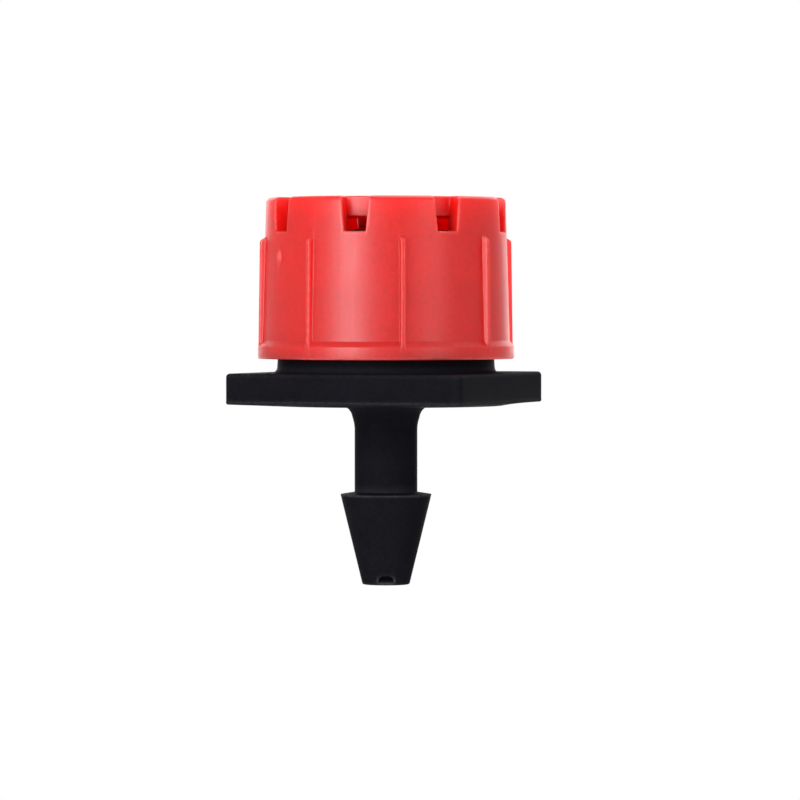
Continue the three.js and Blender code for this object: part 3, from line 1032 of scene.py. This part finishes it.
def white_for_camera(tree, other, hide_back=False):
    """Plain white to the camera's eye; anything else sees the other shader."""
    path = tree.nodes.new("ShaderNodeLightPath").outputs["Is Camera Ray"]
    white = add_node(tree, "ShaderNodeEmission", Color=(1, 1, 1, 1), Strength=1).outputs[0]
    shader = add_node(tree, "ShaderNodeMixShader", path, other, white).outputs[0]
    if hide_back:
        behind = tree.nodes.new("ShaderNodeNewGeometry").outputs["Backfacing"]
        clear = tree.nodes.new("ShaderNodeBsdfTransparent").outputs[0]
        shader = add_node(tree, "ShaderNodeMixShader", behind, shader, clear).outputs[0]
    return shader


def lay_floor(drop):
    """A pale floor, far enough below the emitter to hang clear of it."""
    bm = bmesh.new()
    bmesh.ops.create_grid(bm, x_segments=1, y_segments=1, size=1.5)
    bmesh.ops.translate(bm, vec=(0, 0, -drop), verts=bm.verts)
    mesh = bpy.data.meshes.new("floor")
    bm.to_mesh(mesh)
    bm.free()
    material = bpy.data.materials.new("pale floor")
    material.use_nodes = True
    tree = material.node_tree
    tree.nodes.clear()
    matt = add_node(tree, "ShaderNodeBsdfDiffuse", Color=(0.75, 0.75, 0.75, 1)).outputs[0]
    add_node(tree, "ShaderNodeOutputMaterial", white_for_camera(tree, matt, hide_back=True))
    mesh.materials.append(material)
    floor = bpy.data.objects.new("floor", mesh)
    bpy.context.scene.collection.objects.link(floor)


def light_room(scene, brightness):
    """An even pale room, white behind the emitter."""
    world = bpy.data.worlds.new("Pale room")
    scene.world = world
    world.use_nodes = True
    tree = world.node_tree
    tree.nodes.clear()
    grey = add_node(tree, "ShaderNodeBackground", Color=(1, 1, 1, 1), Strength=brightness).outputs[0]
    add_node(tree, "ShaderNodeOutputWorld", white_for_camera(tree, grey))


def add_camera(scene, studio, around):
    camera = bpy.data.cameras.new("Camera")
    camera.lens = camera.sensor_width * studio.distance / studio.view_width
    camera.clip_start = 0.01
    eye = bpy.data.objects.new("Camera", camera)
    scene.collection.objects.link(eye)
    eye.location = around.place(0, studio.distance, studio.height)
    aim = around.right * studio.aim_right + Vector((0, 0, studio.aim_up))
    eye.rotation_euler = (aim - eye.location).to_track_quat("-Z", "Y").to_euler()
    scene.camera = eye


class EMITTER_OT_cap(bpy.types.Operator):
    """Builds the red outlet cap"""

    bl_idname = "emitter.cap"
    bl_label = "Outlet Cap"

    def execute(self, context):
        bm = build_cap(context.scene.emitter_cap, context.scene.emitter_thread)
        material = red_plastic(context.scene.emitter_finish)
        finish_piece(bm, "red_outlet_cap", material, "cap", "outlet_cap")
        return {"FINISHED"}


class EMITTER_OT_base(bpy.types.Operator):
    """Builds the black base with its barb, plate and thread"""

    bl_idname = "emitter.base"
    bl_label = "Emitter Base"

    def execute(self, context):
        bm = build_base(context.scene.emitter_base, context.scene.emitter_thread)
        material = black_plastic(context.scene.emitter_finish)
        finish_piece(bm, "black_emitter_base", material, "base", "emitter_base")
        return {"FINISHED"}


class EMITTER_OT_ring(bpy.types.Operator):
    """Builds the rubber seal ring"""

    bl_idname = "emitter.ring"
    bl_label = "Seal Ring"

    def execute(self, context):
        material = seal_rubber(context.scene.emitter_finish)
        finish_piece(build_ring(), "rubber_seal_ring", material, "seal", "seal_ring")
        return {"FINISHED"}


class EMITTER_OT_stage(bpy.types.Operator):
    """Sets up the pale floor, the soft lights and the camera"""

    bl_idname = "emitter.stage"
    bl_label = "Studio"

    def execute(self, context):
        scene = context.scene
        studio = scene.emitter_studio
        around = Angles(studio.azimuth)
        target = Vector((0, 0, 0))
        lay_floor(studio.floor_drop)
        light_room(scene, studio.room)
        for name, across, width, height, radiance, tint in (
            ("key softbox", -34, 0.18, 0.5, studio.key, COOL),
            ("fill softbox", 43, 0.12, 0.4, studio.fill, (1, 1, 1)),
            ("left rim softbox", -166, 0.26, 0.5, studio.rim, (1, 1, 1)),
            ("right rim softbox", 160, 0.24, 0.5, studio.rim, (1, 1, 1)),
        ):
            place = around.place(across, LAMP_DISTANCE, LAMP_HEIGHT)
            softbox(name, place, target, width, height, radiance, tint)
        softbox("top softbox", around.place(150, 0.25, 0.5), target, 0.4, 0.4, studio.top, (1, 1, 1))
        add_camera(scene, studio, around)
        scene.view_settings.view_transform = "Standard"
        return {"FINISHED"}


class EMITTER_PT_panel(bpy.types.Panel):
    bl_label = "Drip Emitter"
    bl_space_type = "VIEW_3D"
    bl_region_type = "UI"
    bl_category = "Emitter"

    def draw(self, context):
        for operator in OPERATORS:
            self.layout.operator(operator.bl_idname)


OPERATORS = (EMITTER_OT_base, EMITTER_OT_ring, EMITTER_OT_cap, EMITTER_OT_stage)
GROUPS = {
    "emitter_cap": EmitterCapSizes,
    "emitter_base": EmitterBaseSizes,
    "emitter_thread": EmitterThreadSizes,
    "emitter_finish": EmitterFinish,
    "emitter_studio": EmitterStudio,
}


def register():
    for cls in (*GROUPS.values(), *OPERATORS, EMITTER_PT_panel):
        bpy.utils.register_class(cls)
    for name, group in GROUPS.items():
        setattr(bpy.types.Scene, name, PointerProperty(type=group))


def unregister():
    for name in GROUPS:
        delattr(bpy.types.Scene, name)
    for cls in (EMITTER_PT_panel, *reversed(OPERATORS), *reversed(GROUPS.values())):
        bpy.utils.unregister_class(cls)


def main():
    register()
    for operator in (bpy.ops.emitter.base, bpy.ops.emitter.ring, bpy.ops.emitter.cap, bpy.ops.emitter.stage):
        operator()


if __name__ == "__main__":
    main()
